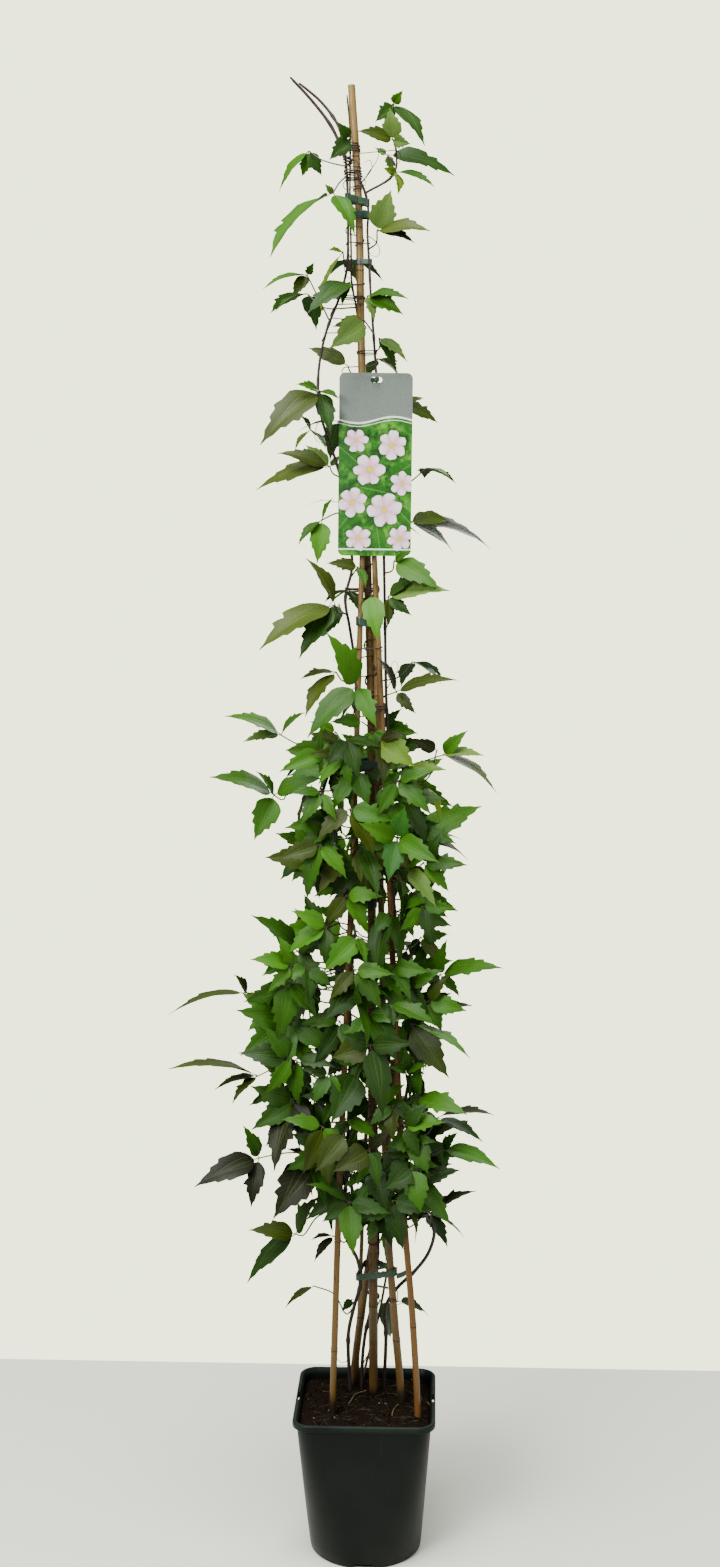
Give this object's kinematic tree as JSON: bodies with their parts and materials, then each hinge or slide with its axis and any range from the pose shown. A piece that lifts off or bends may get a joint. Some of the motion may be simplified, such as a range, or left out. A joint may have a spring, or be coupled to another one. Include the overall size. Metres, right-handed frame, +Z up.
{
  "type": "clematis plant on a trellis",
  "caption": "Tall potted clematis grown up a tied bundle of bamboo canes, with three-part toothed leaves, a hanging card label and a dark square-to-round nursery pot.",
  "frame": {"origin": "middle of the pot's flat base, on the surface that it stands on", "axes": "+Z up along the pot's axis, -Y to the front with the label, +X to the right seen from the front"},
  "size_m": [0.4779, 0.3113, 2.1033],
  "materials": {
    "pot": "matte, slightly dusty",
    "soil": "crumbly, damp",
    "bamboo": "smooth, slightly glossy skin with nodes",
    "dry_wood": "dry, rough",
    "tape": "soft, slightly glossy tape",
    "card": "printed plastic card",
    "foliage": "semi-matte leaves on thin woody stems"
  },
  "bodies": {
    "root": {"cane_back": "bamboo", "cane_centre": "bamboo", "cane_far_right": "bamboo", "cane_left": "bamboo", "cane_right": "bamboo", "cane_thin": "bamboo", "dry_stake": "dry_wood", "label_card": "card", "label_loop": "tape", "leafy_stem_back": "foliage", "leafy_stem_left": "foliage", "leafy_stem_right": "foliage", "pot": "pot", "potting_soil": "soil", "tie_low": "tape", "tie_middle": "tape", "tie_second": "tape", "tie_small": "tape", "tie_top": "tape", "tie_upper": "tape", "tie_waist": "tape", "tie_wide": "tape"}
  },
  "joints": []
}
